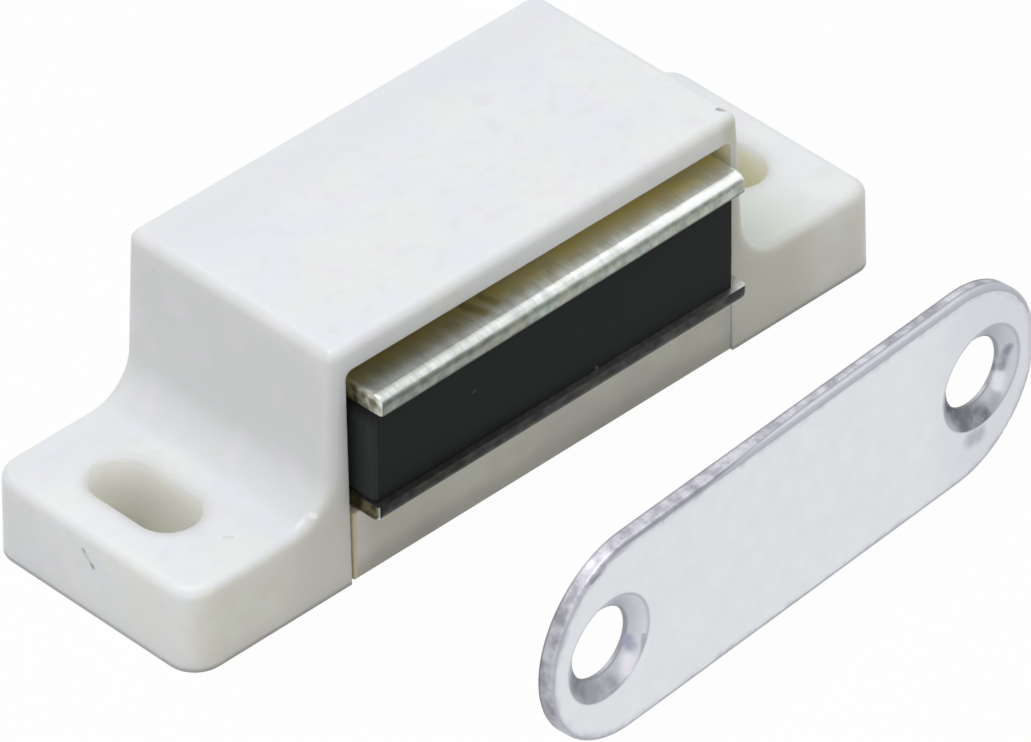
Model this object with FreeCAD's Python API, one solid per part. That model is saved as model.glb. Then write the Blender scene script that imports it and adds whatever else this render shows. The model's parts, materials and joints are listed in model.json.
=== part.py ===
import FreeCAD, Part
import math
import os

from FreeCAD import Vector

# Magnetic cupboard catch: a white moulded housing with two screw ears, a magnet between two steel
# pole plates that floats in its front opening, a cover that closes it from below, and the loose
# steel strike plate that goes on the door.
# Millimetres. Origin: on the mounting plane, midway between the two screw slots.
# X runs along the length, the open front faces -Y, Z points up from the mounting plane.

# Magnet, and the two pole plates above and below it
plate_length = 26.8
plate_depth = 12.8
plate_thickness = 1.08
plate_proud = 1.65
plate_roll_r = 0.65
plate_corner_r = 0.25
magnet_height = 6.03
magnet_depth = 12.0
magnet_setback = 0.4
magnet_end_setback = 0.35
magnet_edge = 0.2

# Floating travel of the magnet and its plates, and the pegs in the plates' notches that limit it
float_travel = 1.5
running_gap = 0.15
peg_width = 1.6
peg_depth = 1.5
peg_from_front = 5.4
notch_gap = 0.35
magnet_gap = 0.1

# How the loose pieces lie: the plates and the magnet between them slid to the left, the upper
# plate a little askew, the cover slid to the right
plate_slide = 0.08
magnet_slide = 0.25
upper_plate_yaw_deg = 0.8
cover_slide = 0.1

# Space left round the plates in the housing
plate_end_gap = 0.55
roof_gap = 0.96
rear_gap = 1.55

# Housing walls and outer form. The hollow lies a little to the right of the housing's middle
hollow_shift = 0.15
end_wall = 0.85
back_wall = 1.3
roof = 1.5
ear_length = 10.2
ear_height = 5.2
front_draft_deg = 1.0
ear_draft_deg = 1.0
block_draft_deg = 3.0
junction_r = 2.6
edge_r = 0.65
left_corner_r = 1.75
right_corner_r = 1.3
opening_corner_r = 0.5

# Screw slots, one through each ear, a little behind the middle of the housing's depth
slot_from_end = 4.35
slot_setback = 0.4
slot_length = 7.0
slot_width = 3.6
slot_lip_r = 0.25

# Ribs under the roof that keep the upper plate down
roof_rib_width = 1.0
roof_rib_spacing = 13.0
roof_rib_setback = 3.6

# Cover: a tray that snaps into the hollow from below
cover_height = 4.42
cover_fit = 0.16
cover_recess = 0.1
cover_wall = 1.2
cover_rib_width = 1.2
cover_rib_spacing = 8.6
cover_rib_count = 2
snap_r = 0.8
snap_height = 0.35
snap_length = 5.0
snap_level = 2.6
snap_gap = 0.15

# Strike plate
strike_length = 38.2
strike_height = 12.2
strike_thickness = 0.9
strike_edge_r = 0.25
strike_hole_spacing = 29.4
strike_hole_d = 4.15
strike_sink_d = 6.15
strike_sink_depth = 0.7

# Where the strike plate stands: as on a door that is open by a few degrees
strike_standoff = 14.75
strike_yaw_deg = 4.1
strike_shift = 1.3

# Heights, worked out from the cover upwards
pack_base = cover_height + running_gap
magnet_base = pack_base + plate_thickness
magnet_top = magnet_base + magnet_height
pack_top = magnet_top + plate_thickness
opening_height = pack_top + roof_gap
body_height = opening_height + roof

# Lengths, worked out from the plates outwards
opening_length = plate_length + 2 * plate_end_gap
block_length = opening_length + 2 * end_wall
body_length = block_length + 2 * ear_length
slot_spacing = body_length - 2 * slot_from_end
peg_inner = opening_length / 2 - peg_width

# Depths, worked out from the plates backwards
hollow_depth = plate_depth - plate_proud + float_travel + rear_gap
body_depth = hollow_depth + back_wall
front = -body_depth / 2
hollow_back = front + hollow_depth
plate_front = front - plate_proud
peg_front = front + peg_from_front

front_slope = math.tan(math.radians(front_draft_deg))
ear_slope = math.tan(math.radians(ear_draft_deg))
block_slope = math.tan(math.radians(block_draft_deg))

# Two heights closer than tiny count as one, and so do two directions within this angle
tiny = 0.001
same_way_deg = 25.0
same_way = math.cos(math.radians(same_way_deg))


def box(x0, x1, y0, y1, z0, z1):
    """A block between two opposite corners."""
    return Part.makeBox(x1 - x0, y1 - y0, z1 - z0, Vector(x0, y0, z0))


def prism(points, along):
    """The closed outline through the points, pushed along a vector."""
    wire = Part.makePolygon(points + points[:1])
    return Part.Face(wire).extrude(along)


def mirrored(shape):
    """The same shape on the other end of the catch."""
    return shape.mirror(Vector(0, 0, 0), Vector(1, 0, 0))


def edges_along(shape, axis, test):
    """Straight edges that run mainly along one axis and whose middle passes the test."""
    found = []
    for edge in shape.Edges:
        ends = [v.Point for v in edge.Vertexes]
        if len(ends) != 2 or edge.Curve.TypeId != "Part::GeomLine":
            continue
        way = (ends[1] - ends[0]).normalize()
        if abs(way.dot(axis)) > same_way and test((ends[0] + ends[1]) * 0.5):
            found.append(edge)
    return found


def edges_at(shape, level, test):
    """Edges that lie flat at one height and whose middle passes the test."""
    return [
        edge
        for edge in shape.Edges
        if all(abs(v.Point.z - level) < tiny for v in edge.Vertexes)
        and abs(edge.CenterOfMass.z - level) < tiny
        and test(edge.CenterOfMass)
    ]


def sharp_edges(shape, lowest):
    """Edges above a level where two faces meet at a clear angle."""
    found = []
    for edge in shape.Edges:
        if edge.BoundBox.ZMin < lowest:
            continue
        faces = shape.ancestorsOfType(edge, Part.Face)
        if len(faces) != 2:
            continue
        middle = edge.valueAt((edge.FirstParameter + edge.LastParameter) / 2)
        normals = [f.normalAt(*f.Surface.parameter(middle)) for f in faces]
        if abs(normals[0].dot(normals[1])) < same_way:
            found.append(edge)
    return found


def in_hollow(shape, slide=0):
    """The shape, moved from the housing's middle to the hollow's, and by its own slide."""
    placed = shape.copy()
    placed.translate(Vector(hollow_shift + slide, 0, 0))
    return placed


def stadium(length, width, height, base):
    """A slot-shaped solid that runs along Y, standing on the point base."""
    half = (length - width) / 2
    body = box(-width / 2, width / 2, -half, half, 0, height)
    for y in (-half, half):
        body = body.fuse(Part.makeCylinder(width / 2, height, Vector(0, y, 0)))
    body = body.removeSplitter()
    body.translate(base)
    return body


def outer_form():
    """Ears and block as one drafted solid, with all its outer edges rounded."""
    end = body_length / 2
    ear_top_end = end - ear_slope * ear_height
    block = block_length / 2
    block_foot = block + block_slope * (body_height - ear_height)
    side = [
        Vector(-end, 0, 0),
        Vector(end, 0, 0),
        Vector(ear_top_end, 0, ear_height),
        Vector(block_foot, 0, ear_height),
        Vector(block, 0, body_height),
        Vector(-block, 0, body_height),
        Vector(-block_foot, 0, ear_height),
        Vector(-ear_top_end, 0, ear_height),
    ]
    along = prism([p + Vector(0, front, 0) for p in side], Vector(0, body_depth, 0))
    across = prism(
        [
            Vector(-end, front, 0),
            Vector(-end, -front, 0),
            Vector(-end, -front, body_height),
            Vector(-end, front + front_slope * body_height, body_height),
        ],
        Vector(body_length, 0, 0),
    )
    form = along.common(across)
    inner_corners = edges_along(
        form,
        Vector(0, 1, 0),
        lambda p: abs(p.z - ear_height) < tiny and abs(p.x) < (end + block_foot) / 2,
    )
    form = form.makeFillet(junction_r, inner_corners)
    for sign, radius in ((-1, left_corner_r), (1, right_corner_r)):
        corners = edges_along(
            form,
            Vector(0, 0, 1),
            lambda p: p.x * sign > (end + block_foot) / 2 and p.z < ear_height,
        )
        form = form.makeFillet(radius, corners)
    return form.makeFillet(edge_r, sharp_edges(form, tiny))


def hollow():
    """The space for the magnet and the cover, open to the front and to the bottom."""
    half = opening_length / 2
    space = box(-half, half, front - edge_r, hollow_back, -edge_r, opening_height)
    upper_corners = edges_along(space, Vector(0, 1, 0), lambda p: p.z > 0)
    return space.makeFillet(opening_corner_r, upper_corners)


def peg(base, top):
    """A stop at the right end of the hollow, for the notch in a pole plate."""
    return box(peg_inner, opening_length / 2, peg_front, peg_front + peg_depth, base, top)


def snap(gap):
    """The rounded snap ridge at the cover's right end, or its groove where gap is more than 0."""
    half = snap_length / 2 + gap
    centre = opening_length / 2 + snap_height - snap_r
    start = Vector(centre, -half, snap_level)
    return Part.makeCylinder(snap_r + gap, 2 * half, start, Vector(0, 1, 0))


def screw_slot(x):
    """The space of one slot, flared at its upper lip, with its middle at x."""
    base = Vector(x, slot_setback, 0)
    straight = stadium(slot_length, slot_width, ear_height + junction_r, base)
    side = slot_width / 2 + 2 * slot_lip_r
    end = slot_length / 2 + 2 * slot_lip_r
    flare = box(x - side, x + side, -end, end, ear_height - 2 * slot_lip_r, ear_height)
    flare.translate(Vector(0, slot_setback, 0))
    rim = flare.cut(straight)
    inner_edges = edges_at(
        rim, ear_height, lambda p: abs(p.x - x) < side and abs(p.y - slot_setback) < end
    )
    return straight.fuse(flare.cut(rim.makeFillet(slot_lip_r, inner_edges)))


def housing():
    """The white moulding, with ribs and pegs under its roof."""
    body = outer_form().cut(in_hollow(hollow()))
    body = body.cut([screw_slot(-slot_spacing / 2), screw_slot(slot_spacing / 2)])
    rib_back = hollow_back + back_wall / 2
    rib_base = pack_top + running_gap
    rib_top = opening_height + roof / 2
    for x in (-roof_rib_spacing / 2, roof_rib_spacing / 2):
        half = roof_rib_width / 2
        rib = box(x - half, x + half, front + roof_rib_setback, rib_back, rib_base, rib_top)
        body = body.fuse(in_hollow(rib))
    stop = peg(magnet_top + magnet_gap, rib_top)
    body = body.fuse([in_hollow(stop), in_hollow(mirrored(stop))])
    groove = snap(snap_gap)
    body = body.cut([in_hollow(groove), in_hollow(mirrored(groove))])
    return body.removeSplitter()


def bottom_cover():
    """The white tray under the magnet, whose front wall shows below the lower pole plate."""
    half = opening_length / 2 - cover_fit
    y0 = front + cover_recess
    y1 = hollow_back - cover_fit
    tray = box(-half, half, y0, y1, cover_recess, cover_height)
    inside = box(
        -half + cover_wall,
        half - cover_wall,
        y0 + cover_wall,
        y1 - cover_wall,
        cover_recess + cover_wall,
        cover_height,
    )
    tray = tray.cut(inside)
    for number in range(cover_rib_count):
        x = (number - (cover_rib_count - 1) / 2) * cover_rib_spacing
        rib_half = cover_rib_width / 2
        rib = box(x - rib_half, x + rib_half, y0, y1, cover_recess, cover_height)
        tray = tray.fuse(rib)
    stop = peg(cover_height - cover_wall, magnet_base - magnet_gap)
    stop = stop.common(box(0, half, front, hollow_back, 0, body_height))
    ridge = snap(0)
    cover = tray.fuse([stop, mirrored(stop), ridge, mirrored(ridge)]).removeSplitter()
    return in_hollow(cover, cover_slide)


def pole_plate(base, outer_is_top, yaw_deg):
    """A steel plate with a notch near each end; its outer front edge is rolled over by the punch."""
    half = plate_length / 2
    plate = box(-half, half, plate_front, plate_front + plate_depth, base, base + plate_thickness)
    outer = base + plate_thickness if outer_is_top else base
    in_front = plate_front + plate_roll_r
    plate = plate.makeFillet(plate_roll_r, edges_at(plate, outer, lambda p: p.y < in_front))
    corners = edges_along(plate, Vector(0, 0, 1), lambda p: p.y < in_front)
    plate = plate.makeFillet(plate_corner_r, corners)
    notch = box(
        peg_inner - plate_slide - notch_gap,
        half + plate_corner_r,
        peg_front - float_travel - notch_gap,
        peg_front + peg_depth + notch_gap,
        base,
        base + plate_thickness,
    )
    plate = plate.cut([notch, mirrored(notch)])
    plate.rotate(Vector(0, plate_front + plate_depth / 2, 0), Vector(0, 0, 1), yaw_deg)
    return in_hollow(plate, -plate_slide)


def magnet():
    """The black ferrite block between the pole plates."""
    half = plate_length / 2 - magnet_end_setback
    y0 = plate_front + magnet_setback
    block = box(-half, half, y0, y0 + magnet_depth, magnet_base, magnet_top)
    block = block.makeChamfer(magnet_edge, edges_along(block, Vector(0, 0, 1), lambda p: True))
    return in_hollow(block, -plate_slide - magnet_slide)


def strike_plate():
    """The steel plate for the door, round at both ends, with two countersunk holes."""
    plate = stadium(strike_length, strike_height, strike_thickness, Vector(0, 0, 0))
    rims = edges_at(plate, strike_thickness, lambda p: True)
    plate = plate.makeFillet(strike_edge_r, rims)
    narrow = strike_hole_d / 2
    wide = strike_sink_d / 2
    floor = strike_thickness - strike_sink_depth
    for y in (-strike_hole_spacing / 2, strike_hole_spacing / 2):
        hole = Part.makeCylinder(narrow, strike_thickness, Vector(0, y, 0))
        sink = Part.makeCone(narrow, wide, strike_sink_depth, Vector(0, y, floor))
        plate = plate.cut([hole, sink])
    plate.rotate(Vector(0, 0, 0), Vector(0, 0, 1), -90)
    plate.rotate(Vector(0, 0, 0), Vector(1, 0, 0), 90)
    plate.rotate(Vector(0, 0, 0), Vector(0, 0, 1), strike_yaw_deg)
    plate.translate(Vector(strike_shift, plate_front - strike_standoff, strike_height / 2))
    return plate


parts = {
    "housing": housing(),
    "bottom_cover": bottom_cover(),
    "upper_pole_plate": pole_plate(magnet_top, True, upper_plate_yaw_deg),
    "lower_pole_plate": pole_plate(pack_base, False, 0),
    "magnet": magnet(),
    "strike_plate": strike_plate(),
}

os.makedirs("parts", exist_ok=True)
for name, shape in parts.items():
    shape.exportStep(os.path.join("parts", name + ".step"))
    print(name, shape.isValid(), len(shape.Solids), round(shape.Volume, 2))
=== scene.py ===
import bpy
import json
import math
from mathutils import Matrix, Vector


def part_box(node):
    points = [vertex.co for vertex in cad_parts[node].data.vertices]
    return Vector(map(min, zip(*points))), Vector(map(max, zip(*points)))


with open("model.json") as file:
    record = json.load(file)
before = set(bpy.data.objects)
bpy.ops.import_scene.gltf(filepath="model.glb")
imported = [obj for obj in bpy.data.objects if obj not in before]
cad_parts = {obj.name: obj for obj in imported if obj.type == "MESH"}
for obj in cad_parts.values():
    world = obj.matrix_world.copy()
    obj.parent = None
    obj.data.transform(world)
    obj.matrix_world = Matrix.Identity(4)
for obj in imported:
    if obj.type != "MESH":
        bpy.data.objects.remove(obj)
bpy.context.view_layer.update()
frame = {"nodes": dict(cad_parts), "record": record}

# Magnetic cupboard catch with its strike plate: camera, light, floor and finishes.
# Metres, in the part's own frame. Finishes are placed in millimetres of that frame.

mm = 0.001

# Photograph's frame, in pixels, and the camera that was fitted to its edges
image_width = 1031
image_height = 742
sensor_width = 36
camera_azimuth_deg = -44.189
camera_elevation_deg = 38.067
camera_roll_deg = -0.393
focal_px = 12118
camera_distance = 0.63353
target = Vector((0, -1.917 * mm, 5.0 * mm))
target_px = (464.0, 343.0)

# Light: a plain dome and soft lamps, each with its direction and its radiance on a white card
dome_strength = 0.42
lamp_distance = 0.5
lamp_size = 0.25
lamps = {
    "left": (Vector((-0.2, 0.1, 0.97)), 0.43),
    "right": (Vector((0.4, 0.15, 0.9)), 0.09),
    "low": (Vector((-0.75, -0.6, 0.25)), 0.11),
}

# Floor: a pale warm white, shown as white where it is seen directly
floor_size = 4.0
floor_gap = 0.02 * mm
floor_colour = (0.72, 0.71, 0.68, 1)
floor_glow = 0.97

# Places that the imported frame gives, in millimetres
lowest = {name: Vector(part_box(name)[0]) / mm for name in frame["nodes"]}
highest = {name: Vector(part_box(name)[1]) / mm for name in frame["nodes"]}
mounts = {mount["name"]: mount for mount in frame["record"]["mounts"]}
front_face = lowest["housing"].y
plate_front = lowest["lower_pole_plate"].y
pack_base = lowest["lower_pole_plate"].z
magnet_base = lowest["magnet"].z
magnet_top = highest["magnet"].z
slot_x, slot_y = (c / mm for c in mounts["right_screw_slot"]["pos_m"][:2])
slot_reach = mounts["right_screw_slot"]["dims"]["hole_r_mm"]
slot_run = mounts["right_screw_slot"]["dims"]["slot_length_mm"] / 2 - slot_reach

# The strike plate's own axes start at the middle of its back. Its holes' mounts lie half way
# through the land that the countersinks leave.
left_hole = Vector(mounts["left_strike_hole"]["pos_m"]) / mm
right_hole = Vector(mounts["right_strike_hole"]["pos_m"]) / mm
strike_normal = Vector(mounts["left_strike_hole"]["axis"])
strike_land = mounts["left_strike_hole"]["dims"]["length_mm"]
strike_along = (right_hole - left_hole).normalized()
strike_middle = (left_hole + right_hole) / 2 - strike_normal * strike_land / 2
strike_hole_u = (right_hole - left_hole).length / 2
strike_hole_r = mounts["left_strike_hole"]["dims"]["r_mm"]
strike_round_r = highest["strike_plate"].z / 2

# Places that the frame doesn't give, in millimetres, and how far a tint fades past an edge
ear_top = 5.2
opening_left = -13.8
opening_right = 14.1
opening_top = 13.72
back_wall_from = 6.45
strike_round_from = 13.0
strike_sink_r = 3.075
edge_fade = 0.15

# Slope of the upper plate's front, which lies slightly askew
upper_plate_slope = 0.014

# How far red, green and blue light scatters in the plastic, as shares, and how far in all:
# in the housing and round its slots, and in the cover
plastic_scatter = (1.0, 0.93, 0.8)
housing_scatter = (1.6 * mm, 7.0 * mm)
cover_scatter = 1.0 * mm

# Height of the bumps, in millimetres
plastic_relief = 0.012
metal_relief = 0.01

# Below, colours are display colours, 0 to 255. In a pair, the first is for a mask of 0 and the
# second for 1. A range gives where its mask is 0 and where it is 1, in millimetres along an
# axis, and a pair of ranges is a rise and a fall.

# The housing's tints
cloud_whites = ((237, 241, 246), (241, 243, 241))
blush_white = (238, 234, 244)
mottle_white = (228, 232, 232)
# Painted shade: the block's top turns greyer towards its back.
back_painted_shade = (230, 234, 238)
back_painted_shade_y = (2.0, 6.5)
# Painted shade on the block's left end face.
block_end_painted_shade = (228, 230, 231)
block_end_x = (-20.0, -18.5)
# Painted warm bounce and shade on the faces toward the front, stronger low down.
front_painted_bounce = ((234, 236, 226), (233, 229, 221))
front_painted_bounce_z = (9.0, 2.0)
# Painted shade on the fronts around the opening's right end and the far ear, where the strike
# plate keeps light off.
right_junction_painted_shade = (219, 218, 206)
right_junction_x = ((13.0, 14.0), (21.5, 18.0))
# Painted shade on the lower fronts around the opening's left end.
left_junction_painted_shade = (223, 221, 213)
left_junction_x = ((-19.5, -16.0), (-12.0, -13.0))
left_junction_z = (8.0, 4.0)
# Painted shade on the far ear's top next to the block, where the block shades it.
right_ear_painted_shade = (219, 225, 217)
right_ear_x = ((13.0, 14.0), (23.0, 18.5))
right_ear_z = (7.5, 5.5)
# Painted light on the near slot's wall and painted shade on the far one's, both a cream painted
# glow of light through the plastic, by height.
left_slot_painted_light = ((255, 253, 228), (255, 253, 240))
left_slot_z = (0.0, 3.0)
right_slot_painted_shade = ((224, 221, 182), (235, 234, 214))
right_slot_z = (1.5, 4.5)
# Painted cream glow inside the opening, under the lip.
opening_painted_glow = (238, 232, 208)
# Painted shade near the floor, darker towards the bottom of the faces.
housing_foot_painted_shade = (150, 149, 146)
housing_foot_z = (0.35, 0.05)

# The cover's tints
cover_whites = ((208, 208, 194), (202, 200, 190))
cover_blotch = (206, 196, 184)
# Painted light in streaks just under the plate.
cover_painted_light = (228, 228, 218)
cover_painted_light_z = (3.6, 4.0)
# Painted light near the cover's left end.
cover_left_painted_light = (228, 220, 213)
cover_left_x = ((-11.5, -13.0), (-13.45, -13.25))
# Painted shade near the floor, darker towards the bottom.
cover_foot_painted_shade = (176, 174, 164)
cover_foot_z = (1.7, 0.4)
cover_seam_tan = (216, 204, 172)
cover_seam_x = (-13.25, -13.4)

# The pole plates' tints. A painted olive reflection and shade under the lip begins at a distance
# behind the front.
plate_streaks = ((200, 203, 200), (232, 235, 233))
plate_patch = (206, 204, 190)
plate_lip_reflections = ((222, 220, 200), (226, 220, 176))
plate_lip_reflections_from = (1.3, 2.3)
# Painted shade, darker towards the left end, on the plates' tops.
plate_left_painted_shade = (204, 205, 203)
plate_left_x = (5.0, -11.0)
roll_streaks = ((196, 202, 200), (230, 235, 233))
# Painted highlight on the roll, whiter towards the right end.
roll_right_painted_highlight = (240, 244, 242)
roll_right_x = (2.0, 11.0)
sheared_tints = ((255, 252, 244), (246, 252, 255))
# Painted shade, darker towards the left end, on the sheared fronts.
sheared_left_painted_shade = (220, 220, 220)
# Painted shade along the bottom edge of the sheared fronts, and in a thin line where the roll
# turns down.
edge_painted_shade = (150, 150, 148)
edge_painted_shade_height = 0.17

# Sheared fronts of the pole plates: darkest and lightest of each. The lower one's much darker
# greys are painted shade on top of the dull sheared face.
upper_sheared = ((158, 162, 155), (200, 205, 196))
lower_sheared_with_painted_shade = ((39, 39, 39), (75, 75, 73))

# Left ends of the pole plates: darkest and lightest of each. The lower one's darker colours are
# painted shade on top of the plate's own.
upper_end = ((128, 126, 104), (206, 206, 192))
lower_end_with_painted_shade = ((70, 64, 46), (128, 122, 98))

# The magnet's tints
magnet_grain = ((10, 14, 14), (26, 30, 31))
magnet_end_grain = ((36, 41, 40), (58, 62, 60))
# Painted shadow along the two plates.
magnet_painted_shadow = (6, 7, 7)

# The strike plate's tints: u runs along it from its middle, w out from its back, and the
# other ranges are distances in from its outline or its hole
strike_patches = ((218, 222, 226), (230, 234, 237))
strike_right_grey = (206, 208, 214)
strike_right_u = (9.0, 15.0)
soiled_greys = ((176, 176, 187), (212, 214, 222))
soiled_border = (0.7, 0.1)
front_edge_grey = (158, 158, 166)
front_edge_border = ((0.36, 0.26), (0.1, 0.2))
front_edge_u = (-14.0, -4.0)
rim_grey = (186, 188, 195)
rim_border = (0.27, 0.2)
worn_greys = ((152, 151, 160), (198, 198, 206))
worn_reach = (0.85, 0.5)
worn_reach_u = (-8.0, 2.0)
groove_grey = (132, 133, 140)
groove_u = (-17.0, -12.0)
back_edge_grey = (128, 126, 134)
back_edge_w = (0.16, 0.05)
# Painted shade in the countersinks: darker in the right one, and deeper towards the hole, with
# turning marks in the same grey.
sink_painted_shades = ((218, 221, 227), (205, 208, 213))
sink_painted_shades_u = (-5.0, 5.0)
sink_inner_shade_and_turning = (192, 194, 201)
sink_ring_grey = (160, 162, 168)
# Painted shade on the bores.
bore_painted_shade = (160, 161, 168)

# Marks on the housing, and one painted glint: from, to, how far they reach on either side, and
# colour
plastic_marks = (
    ((-24.9, 0.5, 3.9), (-24.9, -0.18, 3.2), 0.16, (217, 215, 211)),
    ((-24.9, 0.5, 3.92), (-24.9, 0.42, 3.84), 0.18, (196, 193, 188)),
    ((-24.9, -0.14, 3.26), (-24.9, -0.22, 3.18), 0.22, (180, 177, 172)),
    ((-20.2, -5.05, ear_top), (-19.85, -5.3, ear_top), 0.12, (226, 226, 222)),
    ((-15.0, 5.58, 13.78), (-15.0, 5.5, 13.72), 0.16, (150, 149, 146)),
    ((14.15, -6.5, 15.2), (14.3, -6.8, 15.1), 0.2, (170, 170, 162)),
    # A painted glint on the fillet where the near ear meets the block.
    ((-16.2, -7.35, 5.7), (-16.05, -7.4, 5.6), 0.25, (255, 255, 255)),
)

# Scratches across the upper plate's top, and a painted glint on its roll, in the same way
plate_marks = (
    ((-4.75, -6.9, 12.76), (-4.4, -8.0, 12.76), 0.45, (186, 182, 150)),
    ((-3.6, -6.9, 12.76), (-3.35, -7.8, 12.76), 0.38, (190, 187, 158)),
    ((-5.6, -6.9, 12.76), (-5.4, -7.5, 12.76), 0.12, (222, 206, 160)),
    # A painted glint on the roll.
    ((1.15, -8.8, 12.76), (1.3, -9.1, 12.65), 0.12, (252, 253, 250)),
)

# Marks on the magnet, in the same way
magnet_marks = (
    ((2.75, -9.0, 5.7), (2.75, -9.0, 5.84), 0.08, (120, 122, 120)),
    ((-6.2, -9.0, 9.1), (-6.0, -9.0, 9.15), 0.08, (64, 68, 68)),
)

# Marks on the strike plate's face and rim, along and up from its middle
strike_marks = (
    ((-16.0, 5.1), (-15.4, 5.3), 0.2, (150, 152, 158)),
    ((-15.4, 5.3), (-14.9, 5.6), 0.12, (170, 172, 178)),
    ((-14.9, 5.6), (-13.3, 5.7), 0.12, (182, 184, 190)),
    ((-10.6, 5.9), (-9.8, 6.0), 0.14, (166, 166, 174)),
    ((-10.7, -5.9), (-9.2, -6.0), 0.16, (160, 160, 168)),
    ((-2.6, -6.0), (1.9, -6.0), 0.14, (150, 148, 152)),
    ((13.9, -3.6), (14.6, -3.7), 0.8, (180, 182, 189)),
    ((18.6, 2.4), (18.8, -2.6), 0.35, (206, 202, 208)),
)

# Painted light and shade inside its countersinks, with some wear, in the same way
sink_shading_and_wear = (
    ((-16.9, -0.9), (-15.9, -2.3), 1.1, (138, 142, 148)),
    ((-15.8, -2.4), (-14.3, -2.75), 0.9, (160, 163, 169)),
    ((-12.9, -2.0), (-13.1, -2.4), 0.6, (228, 224, 232)),
    ((-12.7, -0.9), (-12.6, -1.3), 0.45, (166, 163, 184)),
    ((-11.9, -0.9), (-12.1, -1.7), 0.2, (172, 172, 180)),
    ((12.7, -0.7), (13.7, -2.3), 1.1, (106, 110, 116)),
    ((13.7, -2.35), (15.1, -2.75), 0.95, (118, 122, 128)),
    ((15.9, -2.6), (16.3, -2.2), 0.45, (170, 172, 178)),
    ((16.7, -1.3), (16.5, -1.8), 0.5, (222, 225, 230)),
    ((17.3, 0.4), (16.9, -0.85), 0.32, (146, 150, 160)),
    ((16.2, -0.3), (16.8, -0.4), 0.35, (180, 182, 190)),
)


def linear(red, green, blue):
    """A display colour, 0 to 255, as the linear colour of a shader socket."""
    values = [c / 255 for c in (red, green, blue)]
    return [c / 12.92 if c <= 0.04045 else ((c + 0.055) / 1.055) ** 2.4 for c in values] + [1]


def plug(tree, socket, value):
    """Links a socket to an output, or sets it to a plain value."""
    if isinstance(value, bpy.types.NodeSocket):
        tree.links.new(value, socket)
    else:
        socket.default_value = value


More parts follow.
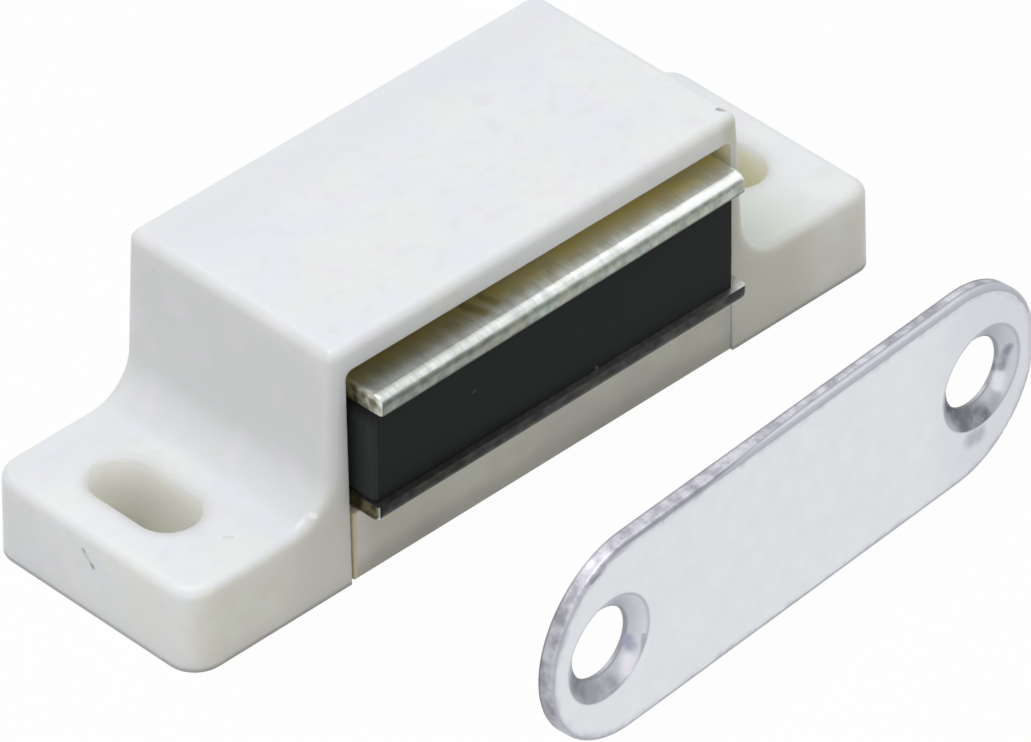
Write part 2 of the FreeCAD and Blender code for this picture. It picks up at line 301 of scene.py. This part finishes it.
class Finish:
    """A node material, with the small set of operations that the finishes are made from."""

    def __init__(self, name, **values):
        self.material = bpy.data.materials.new(name)
        self.material.use_nodes = True
        self.tree = self.material.node_tree
        self.shader = self.tree.nodes["Principled BSDF"]
        coordinates = self.node("ShaderNodeTexCoord")
        self.place = self.vector("SCALE", coordinates.outputs["Object"], scale=1 / mm)
        self.set(**values)

    def set(self, **values):
        """Sets the shader's sockets, named as the shader names them with _ for a space."""
        for name, value in values.items():
            plug(self.tree, self.shader.inputs[name.replace("_", " ")], value)

    def node(self, kind, **settings):
        """A new node with its settings."""
        made = self.tree.nodes.new(kind)
        for name, value in settings.items():
            setattr(made, name, value)
        return made

    def math(self, operation, a, b=0.0):
        """An operation on one or two numbers."""
        made = self.node("ShaderNodeMath", operation=operation)
        plug(self.tree, made.inputs[0], a)
        plug(self.tree, made.inputs[1], b)
        return made.outputs[0]

    def vector(self, operation, a, b=None, scale=None):
        """An operation on one or two vectors, or on a vector and a scale."""
        made = self.node("ShaderNodeVectorMath", operation=operation)
        plug(self.tree, made.inputs[0], a)
        if b is not None:
            plug(self.tree, made.inputs[1], b)
        if scale is not None:
            plug(self.tree, made.inputs["Scale"], scale)
        return made.outputs["Value" if operation in ("DOT_PRODUCT", "LENGTH") else "Vector"]

    def axis(self, name, vector=None):
        """One of the three parts of a vector, by default of the place."""
        made = self.node("ShaderNodeSeparateXYZ")
        plug(self.tree, made.inputs[0], vector or self.place)
        return made.outputs[name]

    def length(self, a, b):
        """The length of a vector with two parts."""
        squares = self.math("ADD", self.math("MULTIPLY", a, a), self.math("MULTIPLY", b, b))
        return self.math("SQRT", squares)

    def ramp(self, value, low, high):
        """0 at low, 1 at high, smooth between them."""
        made = self.node("ShaderNodeMapRange", interpolation_type="SMOOTHSTEP")
        plug(self.tree, made.inputs["Value"], value)
        plug(self.tree, made.inputs["From Min"], low)
        plug(self.tree, made.inputs["From Max"], high)
        return made.outputs["Result"]

    def band(self, value, rise, fall):
        """1 between a rise and a fall."""
        return self.both(self.ramp(value, *rise), self.ramp(value, *fall))

    def spread(self, value, low, high):
        """A 0 to 1 value spread over a range of values."""
        made = self.node("ShaderNodeMapRange")
        plug(self.tree, made.inputs["Value"], value)
        plug(self.tree, made.inputs["To Min"], low)
        plug(self.tree, made.inputs["To Max"], high)
        return made.outputs["Result"]

    def facing(self, name, low, high):
        """0 to 1 as the surface turns along an axis of the object's own frame, at any pose."""
        geometry = self.node("ShaderNodeNewGeometry")
        turn = self.node(
            "ShaderNodeVectorTransform",
            vector_type="NORMAL",
            convert_from="WORLD",
            convert_to="OBJECT",
        )
        plug(self.tree, turn.inputs[0], geometry.outputs["Normal"])
        return self.ramp(self.axis(name, turn.outputs[0]), low, high)

    def both(self, *masks):
        """1 where all masks are 1."""
        result = masks[0]
        for mask in masks[1:]:
            result = self.math("MULTIPLY", result, mask)
        return result

    def either(self, *masks):
        """The highest of the masks."""
        result = masks[0]
        for mask in masks[1:]:
            result = self.math("MAXIMUM", result, mask)
        return result

    def mix(self, factor, a, b, blend="MIX"):
        """Colour a at a factor of 0, blended with colour b at 1."""
        made = self.node("ShaderNodeMix", data_type="RGBA", blend_type=blend)
        plug(self.tree, made.inputs["Factor"], factor)
        plug(self.tree, made.inputs[6], a)
        plug(self.tree, made.inputs[7], b)
        return made.outputs[2]

    def between(self, mask, colours):
        """A mix of a pair of display colours."""
        return self.mix(mask, *[linear(*colour) for colour in colours])

    def tint(self, base, mask, colour, share=1.0, blend="MIX"):
        """A base with a display colour laid over it by a mask, up to a share."""
        if share != 1.0:
            mask = self.math("MULTIPLY", mask, share)
        return self.mix(mask, base, linear(*colour), blend)

    def noise(self, size, detail=2.0, roughness=0.5, stretch=(1, 1, 1), shift=0.0):
        """Soft noise with patches of about the size given, in millimetres."""
        made = self.node("ShaderNodeTexNoise", noise_dimensions="3D")
        place = self.vector("DIVIDE", self.place, Vector(stretch) * size)
        if shift:
            place = self.vector("ADD", place, Vector((shift, shift, shift)))
        plug(self.tree, made.inputs["Vector"], place)
        plug(self.tree, made.inputs["Scale"], 1.0)
        plug(self.tree, made.inputs["Detail"], detail)
        plug(self.tree, made.inputs["Roughness"], roughness)
        return made.outputs["Fac"]

    def patches(self, low, high, size, **noise):
        """Noise as a mask: 0 where it is at low, 1 where it is at high."""
        return self.ramp(self.noise(size, **noise), low, high)

    def near_line(self, start, end, inner, outer):
        """1 within the inner distance of a stretch of line, 0 beyond the outer one."""
        start = Vector(start).to_3d()
        along = Vector(end).to_3d() - start
        offset = self.vector("SUBTRACT", self.place, start)
        share = self.vector("DOT_PRODUCT", offset, along / along.length_squared)
        share = self.math("MAXIMUM", self.math("MINIMUM", share, 1.0), 0.0)
        nearest = self.vector("SCALE", along, scale=share)
        distance = self.vector("LENGTH", self.vector("SUBTRACT", offset, nearest))
        return self.ramp(distance, outer, inner)

    def marked(self, base, marks, core=0.3, where=None):
        """A base with marks laid over it, each full out to a share of its reach."""
        for start, end, reach, colour in marks:
            mark = self.near_line(start, end, reach * core, reach)
            if where is not None:
                mark = self.both(mark, where)
            base = self.tint(base, mark, colour)
        return base

    def bump(self, shape, relief):
        """Bumps up to a height in millimetres, where a 0 to 1 shape is 1."""
        made = self.node("ShaderNodeBump")
        plug(self.tree, made.inputs["Height"], self.spread(shape, 0.0, relief))
        plug(self.tree, made.inputs["Strength"], 1.0)
        plug(self.tree, made.inputs["Distance"], mm)
        self.set(Normal=made.outputs["Normal"])


def white_plastic():
    """The housing's moulded plastic: cloudy white, with painted light and shade: a cream glow in
    the slots and the opening, a warm bounce low on the front, a glint at a junction, and shade at
    the back, on the block's end, beside the opening's ends and near the floor.
    """
    finish = Finish("white_plastic", Subsurface_Radius=plastic_scatter)
    x, y, z = (finish.axis(name) for name in "XYZ")
    clouds = finish.patches(0.35, 0.65, size=5.0, detail=3.0)
    base = finish.between(clouds, cloud_whites)
    # Painted shade, greyer towards the back of the block.
    base = finish.tint(base, finish.ramp(y, *back_painted_shade_y), back_painted_shade, share=0.7)
    # Painted shade on the block's left end face.
    block_end = finish.both(finish.facing("X", -0.1, -0.5), finish.ramp(x, *block_end_x))
    base = finish.tint(base, block_end, block_end_painted_shade)
    blush = finish.patches(0.5, 0.7, size=2.2, shift=9.0)
    base = finish.tint(base, blush, blush_white, share=0.5)
    mottle = finish.patches(0.5, 0.75, size=1.1, detail=3.0, shift=14.0)
    base = finish.tint(base, mottle, mottle_white, share=0.4)

    front = finish.facing("Y", -0.5, -0.95)
    # Painted warm bounce and shade on the front faces, stronger towards the bottom.
    warmth = finish.patches(0.3, 0.7, size=1.8, detail=3.0, shift=21.0)
    low = finish.spread(finish.ramp(z, *front_painted_bounce_z), 0.3, 1.0)
    base = finish.mix(finish.both(front, low), base, finish.between(warmth, front_painted_bounce))
    # Painted shade on the fronts around the opening's right end and the far ear.
    right = finish.both(front, finish.band(x, *right_junction_x))
    base = finish.tint(base, right, right_junction_painted_shade)
    # Painted shade on the lower fronts around the opening's left end.
    left = finish.both(front, finish.band(x, *left_junction_x), finish.ramp(z, *left_junction_z))
    base = finish.tint(base, left, left_junction_painted_shade)
    # Painted shade on the far ear's top next to the block.
    upward = finish.both(finish.facing("Z", 0.5, 0.9), finish.ramp(z, *right_ear_z))
    base = finish.tint(base, finish.both(upward, finish.band(x, *right_ear_x)), right_ear_painted_shade)

    across = finish.math("SUBTRACT", finish.math("ABSOLUTE", x), slot_x)
    along = finish.math("ABSOLUTE", finish.math("SUBTRACT", y, slot_y))
    along = finish.math("MAXIMUM", finish.math("SUBTRACT", along, slot_run), 0.0)
    from_slot = finish.length(across, along)
    in_slot = finish.both(
        finish.ramp(from_slot, slot_reach + edge_fade, slot_reach),
        finish.ramp(z, ear_top - 0.1, ear_top - 0.6),
    )
    # Painted light on the near slot's wall, painted shade on the far one's, both a cream glow.
    left_wall = finish.between(finish.ramp(z, *left_slot_z), left_slot_painted_light)
    right_wall = finish.between(finish.ramp(z, *right_slot_z), right_slot_painted_shade)
    wall = finish.mix(finish.ramp(x, -1.0, 1.0), left_wall, right_wall)
    base = finish.mix(in_slot, base, wall)
    round_slot = finish.both(
        finish.ramp(from_slot, slot_reach + 1.2, slot_reach),
        finish.ramp(z, ear_top + 0.3, ear_top),
    )

    # Painted cream glow over the inside of the opening.
    inside = finish.both(
        finish.ramp(x, opening_left - edge_fade, opening_left),
        finish.ramp(x, opening_right + edge_fade, opening_right),
        finish.ramp(z, opening_top + edge_fade, opening_top),
        finish.ramp(y, front_face + 0.1, front_face + 0.6),
        finish.ramp(y, back_wall_from + 0.3, back_wall_from + 0.1),
    )
    base = finish.tint(base, inside, opening_painted_glow)
    base = finish.marked(base, plastic_marks)
    # Painted shade near the floor, darker towards the bottom of the faces.
    foot = finish.both(finish.ramp(z, *housing_foot_z), finish.facing("Z", -0.9, -0.7))
    base = finish.tint(base, foot, housing_foot_painted_shade, share=0.6)
    finish.set(
        Base_Color=base,
        Roughness=finish.spread(clouds, 0.3, 0.4),
        Subsurface_Weight=finish.spread(round_slot, 0.5, 1.0),
        Subsurface_Scale=finish.spread(round_slot, *housing_scatter),
    )
    finish.bump(finish.noise(0.9, detail=3.0, shift=3.0), plastic_relief)
    return finish.material


def cover_plastic():
    """The cover's duller plastic: painted light just under the plate and near its left end,
    painted shade near the floor, tan at its left seam.
    """
    finish = Finish(
        "cover_plastic",
        Subsurface_Weight=0.3,
        Subsurface_Radius=plastic_scatter,
        Subsurface_Scale=cover_scatter,
    )
    x, z = finish.axis("X"), finish.axis("Z")
    clouds = finish.patches(0.35, 0.65, size=3.0, detail=3.0)
    base = finish.between(clouds, cover_whites)
    blotches = finish.patches(0.5, 0.75, size=1.2, detail=3.0, shift=6.0)
    base = finish.tint(base, blotches, cover_blotch, share=0.5)
    # Painted light in streaks just under the plate.
    painted_light_streaks = finish.patches(0.3, 0.6, size=0.9, detail=3.0, stretch=(3, 1, 1), shift=2.0)
    painted_light_streaks = finish.both(finish.ramp(z, *cover_painted_light_z), painted_light_streaks)
    base = finish.tint(base, painted_light_streaks, cover_painted_light, share=0.7)
    # Painted light near the cover's left end.
    base = finish.tint(base, finish.band(x, *cover_left_x), cover_left_painted_light, share=0.6)
    # Painted shade near the floor, darker towards the bottom.
    base = finish.tint(base, finish.ramp(z, *cover_foot_z), cover_foot_painted_shade, share=0.6)
    base = finish.tint(base, finish.ramp(x, *cover_seam_x), cover_seam_tan)
    finish.set(Base_Color=base, Roughness=finish.spread(clouds, 0.38, 0.52))
    finish.bump(finish.noise(0.8, detail=3.0), plastic_relief)
    return finish.material


def plated_steel(name, foot, sheared, end_wear_and_shade):
    """Plated sheet steel: streaked on top, dull where sheared, with a painted olive reflection
    and shade under the lip, a painted highlight on the roll, and painted shade towards the left
    and along the bottom edge.
    """
    finish = Finish(name, Metallic=1.0)
    x, y, z = (finish.axis(name) for name in "XYZ")
    streaks = finish.patches(0.3, 0.7, size=0.5, detail=4.0, roughness=0.7, stretch=(1, 4, 3))
    base = finish.between(streaks, plate_streaks)
    patches = finish.patches(0.5, 0.7, size=1.4, detail=3.0, shift=5.0)
    base = finish.tint(base, patches, plate_patch, share=0.35)

    # Painted olive reflection and shade under the lip, from a ragged depth behind the front.
    depth = finish.math("MULTIPLY", x, upper_plate_slope)
    depth = finish.math("ADD", finish.math("SUBTRACT", y, plate_front), depth)
    broad = finish.noise(1.8, detail=3.0, shift=8.0)
    fine = finish.noise(0.5, detail=4.0, roughness=0.7, stretch=(1, 2, 2), shift=16.0)
    ragged = finish.math("ADD", depth, finish.spread(broad, -0.5, 0.5))
    ragged = finish.math("ADD", ragged, finish.spread(fine, -0.35, 0.35))
    under_lip = finish.ramp(ragged, *plate_lip_reflections_from)
    lip_reflection = finish.between(finish.ramp(broad, 0.35, 0.65), plate_lip_reflections)
    base = finish.mix(under_lip, base, lip_reflection)
    base = finish.marked(base, plate_marks)
    # Painted shade, darker towards the left end.
    left = finish.ramp(x, *plate_left_x)
    base = finish.tint(base, left, plate_left_painted_shade, blend="MULTIPLY")
    # The roll's colour, with a painted highlight whiter towards the right end.
    bright = finish.between(streaks, roll_streaks)
    bright = finish.tint(bright, finish.ramp(x, *roll_right_x), roll_right_painted_highlight)
    base = finish.mix(finish.facing("Y", -0.2, -0.6), base, bright)

    # The left ends, then the sheared fronts: the lower plate's darker colours for both carry
    # painted shade.
    blots = finish.patches(0.35, 0.65, size=0.6, detail=3.0, shift=11.0)
    base = finish.mix(finish.facing("X", -0.5, -0.9), base, finish.between(blots, end_wear_and_shade))
    speckle = finish.patches(0.25, 0.75, size=0.6, detail=3.0, shift=2.0)
    cut_face_and_shade = finish.between(speckle, sheared)
    tints = finish.between(finish.ramp(broad, 0.4, 0.6), sheared_tints)
    cut_face_and_shade = finish.mix(1.0, cut_face_and_shade, tints, blend="MULTIPLY")
    cut_face_and_shade = finish.tint(cut_face_and_shade, left, sheared_left_painted_shade, blend="MULTIPLY")
    # Painted shade along the bottom edge and in a thin line where the roll turns down.
    roll_painted_shade = finish.both(finish.facing("Y", -0.8, -0.88), finish.facing("Y", -0.99, -0.94))
    painted_shade_lines = finish.ramp(z, foot + edge_painted_shade_height, foot)
    painted_shade_lines = finish.either(finish.math("MULTIPLY", roll_painted_shade, 0.4), painted_shade_lines)
    cut_face_and_shade = finish.tint(cut_face_and_shade, painted_shade_lines, edge_painted_shade, blend="MULTIPLY")
    base = finish.mix(finish.facing("Y", -0.7, -0.85), base, cut_face_and_shade)

    rolled = finish.spread(finish.facing("Y", 0.0, -0.2), 0.28, 0.45)
    roughness = finish.either(rolled, finish.spread(under_lip, 0.28, 0.4))
    finish.set(Base_Color=base, Roughness=roughness)
    finish.bump(streaks, metal_relief)
    return finish.material


def ferrite():
    """The magnet's matt black ceramic, greyer on its left end, with painted shadow along the two
    plates.
    """
    finish = Finish("ferrite", Specular_IOR_Level=0.14)
    grain = finish.noise(0.3, detail=4.0, roughness=0.65)
    base = finish.between(grain, magnet_grain)
    left_end = finish.facing("X", -0.3, -0.9)
    base = finish.mix(left_end, base, finish.between(grain, magnet_end_grain))
    z = finish.axis("Z")
    # Painted shadow along the two plates.
    under_plate = finish.ramp(z, magnet_top - 1.2, magnet_top - 0.1)
    on_plate = finish.ramp(z, magnet_base + 0.35, magnet_base + 0.1)
    base = finish.tint(base, finish.either(under_plate, on_plate), magnet_painted_shadow, share=0.85)
    base = finish.marked(base, magnet_marks)
    finish.set(Base_Color=base, Roughness=finish.spread(grain, 0.5, 0.65))
    finish.bump(grain, metal_relief)
    return finish.material


def strike_steel():
    """Bright plated steel: streaky rim, painted light and shade with some wear in the
    countersinks, painted shade in the bores, a few dark marks.
    """
    finish = Finish("strike_steel", Metallic=1.0)
    offset = finish.vector("SUBTRACT", finish.place, strike_middle)
    u = finish.vector("DOT_PRODUCT", offset, strike_along)
    v = finish.axis("Z", offset)
    w = finish.vector("DOT_PRODUCT", offset, strike_normal)

    patches = finish.noise(1.2, detail=4.0)
    base = finish.between(patches, strike_patches)
    base = finish.tint(base, finish.ramp(u, *strike_right_u), strike_right_grey, share=0.5)
    mottle = finish.patches(0.3, 0.7, size=0.9, detail=4.0, roughness=0.6, shift=4.0)

    past_end = finish.math("SUBTRACT", finish.math("ABSOLUTE", u), strike_round_from)
    past_end = finish.math("MAXIMUM", past_end, 0.0)
    to_edge = finish.math("SUBTRACT", strike_round_r, finish.length(past_end, v))
    border = finish.math("ADD", to_edge, finish.spread(mottle, -0.1, 0.1))
    soiled = finish.math("MULTIPLY", finish.ramp(border, *soiled_border), 0.7)
    base = finish.mix(soiled, base, finish.between(mottle, soiled_greys))
    front_edge = finish.both(
        finish.band(to_edge, *front_edge_border),
        finish.spread(finish.ramp(u, *front_edge_u), 0.25, 0.75),
    )
    base = finish.tint(base, front_edge, front_edge_grey)

    rim = finish.ramp(to_edge, *rim_border)
    reach = finish.spread(finish.ramp(u, *worn_reach_u), *worn_reach)
    worn = finish.ramp(finish.math("SUBTRACT", w, reach), 0.08, -0.08)
    base = finish.tint(base, rim, rim_grey)
    base = finish.mix(finish.both(rim, worn), base, finish.between(mottle, worn_greys))
    groove = finish.math("ABSOLUTE", finish.math("SUBTRACT", w, reach))
    groove = finish.both(rim, finish.ramp(groove, 0.07, 0.02), finish.ramp(u, *groove_u))
    base = finish.tint(base, groove, groove_grey, share=0.6)
    back_edge = finish.both(rim, finish.ramp(w, *back_edge_w))
    base = finish.tint(base, back_edge, back_edge_grey, share=0.7)

    # Painted shade in the countersinks and bores.
    from_hole = finish.math("SUBTRACT", finish.math("ABSOLUTE", u), strike_hole_u)
    from_hole = finish.length(from_hole, v)
    sink = finish.ramp(from_hole, strike_sink_r + 0.05, strike_sink_r)
    outward = finish.ramp(from_hole, strike_hole_r, strike_sink_r)
    outer = finish.between(finish.ramp(u, *sink_painted_shades_u), sink_painted_shades)
    cone = finish.mix(outward, linear(*sink_inner_shade_and_turning), outer)
    turned = finish.spread(finish.noise(0.6, detail=3.0, shift=12.0), 0.0, 0.6)
    base = finish.mix(sink, base, finish.tint(cone, turned, sink_inner_shade_and_turning))
    ring = finish.math("ABSOLUTE", finish.math("SUBTRACT", from_hole, strike_sink_r))
    base = finish.tint(base, finish.ramp(ring, 0.14, 0.03), sink_ring_grey, share=0.45)
    bore = finish.ramp(from_hole, strike_hole_r + 0.12, strike_hole_r + 0.04)
    base = finish.tint(base, bore, bore_painted_shade)

    flat = finish.node("ShaderNodeCombineXYZ")
    plug(finish.tree, flat.inputs["X"], u)
    plug(finish.tree, flat.inputs["Y"], v)
    finish.place = flat.outputs[0]
    ragged = finish.spread(finish.patches(0.3, 0.6, size=0.6, detail=3.0), 0.6, 1.0)
    base = finish.marked(base, strike_marks, core=0.2, where=ragged)
    base = finish.marked(base, sink_shading_and_wear, core=0.2, where=finish.both(ragged, sink))
    finish.set(Base_Color=base, Roughness=finish.spread(finish.either(rim, sink), 0.36, 0.5))
    finish.bump(patches, metal_relief)
    return finish.material


finishes = {
    "housing": white_plastic(),
    "bottom_cover": cover_plastic(),
    "upper_pole_plate": plated_steel("upper_plate_steel", magnet_top, upper_sheared, upper_end),
    "lower_pole_plate": plated_steel("lower_plate_steel", pack_base, lower_sheared_with_painted_shade, lower_end_with_painted_shade),
    "magnet": ferrite(),
    "strike_plate": strike_steel(),
}

for name, finish in finishes.items():
    piece = frame["nodes"][name]
    piece.data.materials.clear()
    piece.data.materials.append(finish)


def seen_directly(tree):
    """1 for camera, mirror and glass rays, 0 for the rays that light the object."""
    path = tree.nodes.new("ShaderNodeLightPath")
    result = path.outputs["Is Camera Ray"]
    for name in ("Is Glossy Ray", "Is Transmission Ray"):
        larger = tree.nodes.new("ShaderNodeMath")
        larger.operation = "MAXIMUM"
        tree.links.new(result, larger.inputs[0])
        tree.links.new(path.outputs[name], larger.inputs[1])
        result = larger.outputs[0]
    return result


def make_world():
    """A plain dome that looks white and lights the object at a lower level."""
    world = bpy.data.worlds.new("studio")
    world.use_nodes = True
    bpy.context.scene.world = world
    tree = world.node_tree
    level = tree.nodes.new("ShaderNodeMapRange")
    plug(tree, level.inputs["Value"], seen_directly(tree))
    plug(tree, level.inputs["To Min"], dome_strength)
    background = tree.nodes["Background"]
    background.inputs["Color"].default_value = (1, 1, 1, 1)
    tree.links.new(level.outputs["Result"], background.inputs["Strength"])


def make_floor():
    """A white floor just below the object, which keeps its shadow."""
    half = floor_size / 2
    mesh = bpy.data.meshes.new("floor")
    corners = [(-half, -half), (half, -half), (half, half), (-half, half)]
    mesh.from_pydata([(*corner, -floor_gap) for corner in corners], [], [(0, 1, 2, 3)])
    floor = bpy.data.objects.new("floor", mesh)
    bpy.context.scene.collection.objects.link(floor)
    material = bpy.data.materials.new("floor")
    material.use_nodes = True
    mesh.materials.append(material)
    tree = material.node_tree
    tree.nodes.remove(tree.nodes["Principled BSDF"])
    matt = tree.nodes.new("ShaderNodeBsdfDiffuse")
    matt.inputs["Color"].default_value = floor_colour
    glow = tree.nodes.new("ShaderNodeEmission")
    share = tree.nodes.new("ShaderNodeMath")
    share.operation = "MULTIPLY"
    plug(tree, share.inputs[0], seen_directly(tree))
    plug(tree, share.inputs[1], floor_glow)
    blend = tree.nodes.new("ShaderNodeMixShader")
    tree.links.new(share.outputs[0], blend.inputs[0])
    tree.links.new(matt.outputs[0], blend.inputs[1])
    tree.links.new(glow.outputs[0], blend.inputs[2])
    tree.links.new(blend.outputs[0], tree.nodes["Material Output"].inputs["Surface"])


def make_lamp(name, direction, strength):
    """A square soft lamp aimed at the object. Its strength is what it adds to a white card."""
    lamp = bpy.data.lights.new(name, "AREA")
    lamp.size = lamp_size
    lamp.energy = strength * (math.pi * lamp_distance) ** 2
    holder = bpy.data.objects.new(name, lamp)
    bpy.context.scene.collection.objects.link(holder)
    way = direction.normalized()
    holder.location = way * lamp_distance
    holder.rotation_mode = "QUATERNION"
    holder.rotation_quaternion = way.to_track_quat("Z", "Y")


def make_camera():
    """The camera that puts the target on its pixel of the photograph."""
    azimuth = math.radians(camera_azimuth_deg)
    elevation = math.radians(camera_elevation_deg)
    roll = math.radians(camera_roll_deg)
    back = Vector(
        (
            math.sin(azimuth) * math.cos(elevation),
            -math.cos(azimuth) * math.cos(elevation),
            math.sin(elevation),
        )
    )
    level_right = (-back).cross(Vector((0, 0, 1))).normalized()
    level_up = back.cross(level_right)
    right = level_right * math.cos(roll) + level_up * math.sin(roll)
    up = level_up * math.cos(roll) - level_right * math.sin(roll)
    metres_per_px = camera_distance / focal_px
    aside = right * (target_px[0] - image_width / 2) - up * (target_px[1] - image_height / 2)
    data = bpy.data.cameras.new("camera")
    data.sensor_width = sensor_width
    data.lens = focal_px / image_width * sensor_width
    data.clip_start = camera_distance / 10
    data.clip_end = camera_distance + floor_size
    camera = bpy.data.objects.new("camera", data)
    bpy.context.scene.collection.objects.link(camera)
    place = target + back * camera_distance - aside * metres_per_px
    axes = Matrix((right, up, back)).transposed()
    camera.matrix_world = Matrix.Translation(place) @ axes.to_4x4()
    bpy.context.scene.camera = camera


make_world()
make_floor()
for name, (direction, strength) in lamps.items():
    make_lamp(name, direction, strength)
make_camera()
bpy.context.scene.view_settings.view_transform = "Standard"
